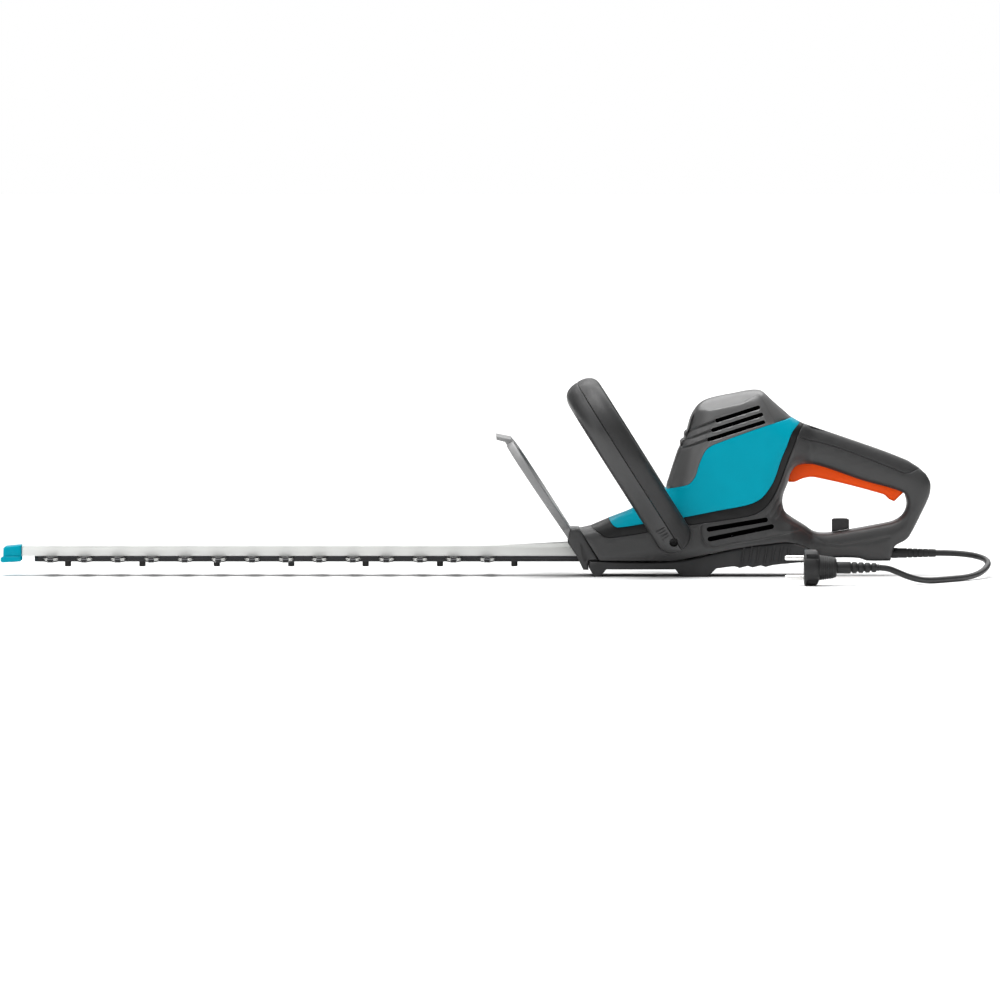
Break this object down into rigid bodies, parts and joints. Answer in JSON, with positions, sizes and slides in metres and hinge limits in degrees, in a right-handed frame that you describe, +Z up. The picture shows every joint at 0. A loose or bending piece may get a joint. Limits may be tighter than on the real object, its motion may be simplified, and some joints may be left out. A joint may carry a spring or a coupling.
{
  "type": "hedge trimmer",
  "caption": "Corded hedge trimmer with a twin reciprocating blade, hand guard, front bail handle and D-shaped rear handle with a trigger.",
  "frame": {"origin": "on the floor, under the middle of the trimmer without its cord and plug", "axes": "+X from the blade tip towards the rear handle, +Y to the tool's right side, +Z up"},
  "size_m": [0.9882, 0.3828, 0.1961],
  "materials": {
    "grey_plastic": "fine-textured moulded plastic",
    "hood_grey": "satin moulded plastic",
    "turquoise_plastic": "smooth satin plastic",
    "band_black": "matt plastic",
    "tray_black": "matt plastic",
    "soft_grip": "soft grained overmould",
    "guard_grey": "satin moulded plastic",
    "bail_front": "fine-textured moulded plastic",
    "bail_rear": "fine-textured moulded plastic",
    "orange_plastic": "smooth plastic",
    "rail_aluminium": "brushed",
    "blade_steel": "dark oiled steel with ground teeth",
    "bolt_steel": "blackened",
    "gear_steel": "machined",
    "laminations": "stacked laminations",
    "copper": "turned",
    "carbon": "matt",
    "cord_rubber": "matt rubber",
    "pin_metal": "nickel plated"
  },
  "bodies": {
    "housing": {"chassis_left": "grey_plastic", "chassis_right": "grey_plastic", "hood_left": "hood_grey", "hood_right": "hood_grey", "cover_left": "turquoise_plastic", "cover_right": "turquoise_plastic", "band_left": "band_black", "band_right": "band_black", "grip_pad_left": "soft_grip", "grip_pad_right": "soft_grip", "front_handle_screw_left": "bolt_steel", "front_handle_screw_right": "bolt_steel", "guard_screw_left": "bolt_steel", "guard_screw_right": "bolt_steel", "brush_left": "carbon", "brush_right": "carbon", "undertray": "tray_black", "cord_hook": "tray_black", "guard": "guard_grey", "front_handle_front": "bail_front", "front_handle_rear": "bail_rear", "trigger_spring": "pin_metal", "switch_box": "carbon", "capacitor": "carbon", "rail": "rail_aluminium", "blade_bolt_1": "bolt_steel", "blade_bolt_2": "bolt_steel", "blade_bolt_3": "bolt_steel", "blade_bolt_4": "bolt_steel", "blade_bolt_5": "bolt_steel", "blade_bolt_6": "bolt_steel", "blade_bolt_7": "bolt_steel", "tip_protector": "turquoise_plastic", "gear_plate": "rail_aluminium", "stator": "laminations", "bearing_upper": "gear_steel", "bearing_lower": "gear_steel", "strain_relief": "cord_rubber", "cord": "cord_rubber", "plug_body": "cord_rubber", "plug_relief": "cord_rubber", "plug_pin_upper": "pin_metal", "plug_pin_lower": "pin_metal"},
    "rotor": {"motor_shaft": "gear_steel", "pinion": "gear_steel", "fan": "carbon", "armature": "laminations", "commutator": "copper"},
    "crank": {"crank_gear": "gear_steel", "crank_cams": "gear_steel"},
    "upper_blade": {"upper_blade": "blade_steel"},
    "lower_blade": {"lower_blade": "blade_steel"},
    "trigger": {"trigger": "orange_plastic"},
    "switch_bar": {"switch_bar": "tray_black"}
  },
  "joints": [
    {"name": "crank_spin", "type": "hinge", "parent": "housing", "child": "crank", "pos_m": [0.224, 0, 0], "axis": [0, 0, 1], "continuous": true},
    {"name": "rotor_spin", "type": "hinge", "parent": "housing", "child": "rotor", "pos_m": [0.25984, 0, 0], "axis": [0, 0, 1], "continuous": true},
    {"name": "upper_blade_slide", "type": "slide", "parent": "housing", "child": "upper_blade", "axis": [1, 0, 0], "range_m": [0, 0.01675]},
    {"name": "lower_blade_slide", "type": "slide", "parent": "housing", "child": "lower_blade", "axis": [1, 0, 0], "range_m": [-0.01675, 0]},
    {"name": "trigger_press", "type": "hinge", "parent": "housing", "child": "trigger", "pos_m": [0.433, 0, 0.0855], "axis": [0, 1, 0], "range_deg": [0, 3.5], "stiffness_Nm_per_rad": 4, "deforming": ["trigger_spring"]},
    {"name": "switch_press", "type": "slide", "parent": "housing", "child": "switch_bar", "axis": [-0.5329, 0, 0.8462], "range_m": [0, 0.002], "stiffness_N_per_m": 600}
  ],
  "couplings": [
    {"joint": "rotor_spin", "follows": "crank_spin", "ratio": -6},
    {"joint": "lower_blade_slide", "follows": "upper_blade_slide", "ratio": -1}
  ]
}
